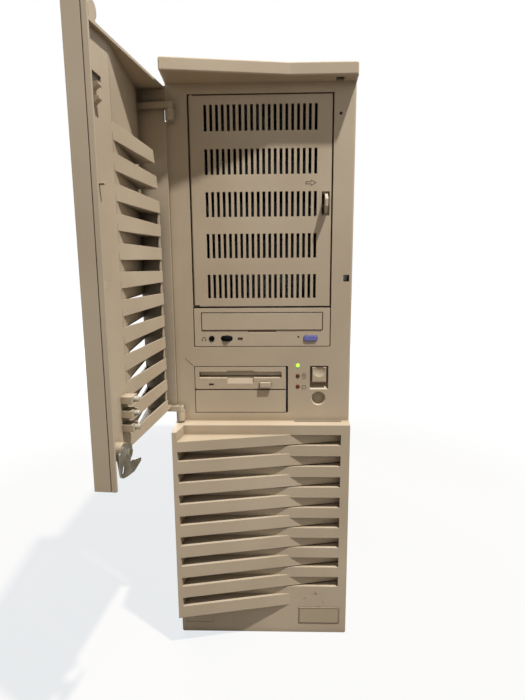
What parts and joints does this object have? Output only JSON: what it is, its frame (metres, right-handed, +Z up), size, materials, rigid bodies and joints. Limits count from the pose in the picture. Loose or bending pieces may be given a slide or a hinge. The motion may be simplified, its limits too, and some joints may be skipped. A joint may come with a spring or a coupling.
{
  "type": "desktop computer tower",
  "caption": "Tall beige computer tower with a lockable louvred front door that swings aside from its drive bays, lamps and power button.",
  "frame": {"origin": "on the floor under the middle of the tower's base", "axes": "+Z up, front towards -Y, +X to the right as seen from the front"},
  "size_m": [0.2257, 0.6467, 0.623],
  "materials": {
    "beige_plastic": "fine texture",
    "grey_plate": "satin",
    "beige_paint": "satin",
    "plated_steel": "zinc plated",
    "lock_plating": "zinc plated",
    "lock_brass": "plain",
    "clear_plastic": "clear",
    "black_plastic": "fine texture",
    "violet_plastic": "satin",
    "warm_plastic": "satin",
    "green_lamp": "translucent",
    "red_lamp": "translucent",
    "circuit_board": "lacquered",
    "bare_aluminium": "cast"
  },
  "bodies": {
    "tower": {"base_plinth": "beige_plastic", "blank_bezel": "beige_plastic", "board_standoffs": "plated_steel", "board_tray": "plated_steel", "cd_bezel": "beige_plastic", "cd_chassis": "plated_steel", "cd_lamp": "red_lamp", "chassis_frame": "plated_steel", "cover_screws": "plated_steel", "drive_cage": "plated_steel", "drive_carriers": "black_plastic", "expansion_cards": "circuit_board", "fan_frame": "black_plastic", "fan_guard": "plated_steel", "floppy_bezel": "beige_plastic", "floppy_cage": "plated_steel", "floppy_chassis": "plated_steel", "floppy_lamp": "green_lamp", "front_plate": "grey_plate", "hard_drives": "bare_aluminium", "headphone_jack": "black_plastic", "indicator_board": "circuit_board", "left_side_cover": "beige_paint", "lower_bezel": "beige_plastic", "mains_inlet": "black_plastic", "memory_modules": "circuit_board", "power_lamp": "green_lamp", "power_supply": "plated_steel", "power_switch": "black_plastic", "processor_heatsink": "bare_aluminium", "rear_panel": "plated_steel", "rear_ports": "plated_steel", "right_side_cover": "beige_paint", "slot_brackets": "plated_steel", "status_lamps": "red_lamp", "system_board": "circuit_board", "top_cover": "beige_paint", "upper_bezel": "beige_plastic"},
    "door": {"door_shell": "beige_plastic", "door_hinge_pins": "plated_steel", "door_light_pipes": "clear_plastic", "lock_barrel": "lock_plating"},
    "lock": {"lock_plug": "lock_brass", "lock_cam": "lock_plating", "lock_nut": "lock_plating"},
    "bay_door": {"bay_door": "beige_plastic", "bay_door_pins": "plated_steel"},
    "bay_latch": {"bay_latch": "beige_plastic"},
    "cd_tray": {"cd_tray": "beige_plastic"},
    "cd_eject": {"cd_eject_button": "violet_plastic"},
    "volume_wheel": {"cd_volume_wheel": "black_plastic"},
    "floppy_eject": {"floppy_eject_button": "beige_plastic"},
    "floppy_flap": {"floppy_flap": "black_plastic"},
    "power_button": {"power_button": "warm_plastic"},
    "fan": {"fan_rotor": "black_plastic"}
  },
  "joints": [
    {"name": "door_swing", "type": "hinge", "parent": "tower", "child": "door", "pos_m": [-0.092, -0.2085, 0.43], "axis": [0, 0, -1], "range_deg": [-95, 12]},
    {"name": "lock_turn", "type": "hinge", "parent": "door", "child": "lock", "pos_m": [-0.10599, -0.36267, 0.2815], "axis": [0.9962, -0.0872, 0], "range_deg": [-60, 0]},
    {"name": "bay_door_swing", "type": "hinge", "parent": "tower", "child": "bay_door", "pos_m": [-0.07125, -0.2007, 0.4924], "axis": [0, 0, -1], "range_deg": [0, 90]},
    {"name": "bay_latch_slide", "type": "slide", "parent": "bay_door", "child": "bay_latch", "axis": [1, 0, 0], "range_m": [0, 0.002], "stiffness_N_per_m": 400},
    {"name": "cd_tray_slide", "type": "slide", "parent": "tower", "child": "cd_tray", "axis": [0, -1, 0], "range_m": [0, 0.13]},
    {"name": "cd_eject_push", "type": "slide", "parent": "tower", "child": "cd_eject", "axis": [0, 1, 0], "range_m": [0, 0.0015], "stiffness_N_per_m": 600},
    {"name": "volume_turn", "type": "hinge", "parent": "tower", "child": "volume_wheel", "pos_m": [-0.039, -0.195, 0.3497], "axis": [0, 0, 1], "range_deg": [-135, 135]},
    {"name": "floppy_eject_push", "type": "slide", "parent": "tower", "child": "floppy_eject", "axis": [0, 1, 0], "range_m": [0, 0.0025], "stiffness_N_per_m": 600},
    {"name": "floppy_flap_swing", "type": "hinge", "parent": "tower", "child": "floppy_flap", "pos_m": [-0.0245, -0.197, 0.3119], "axis": [1, 0, 0], "range_deg": [0, 80], "stiffness_Nm_per_rad": 0.002},
    {"name": "power_push", "type": "slide", "parent": "tower", "child": "power_button", "axis": [0, 1, 0], "range_m": [0, 0.003], "stiffness_N_per_m": 500},
    {"name": "fan_spin", "type": "hinge", "parent": "tower", "child": "fan", "pos_m": [-0.028, 0.235, 0.533], "axis": [0, 1, 0], "continuous": true}
  ]
}
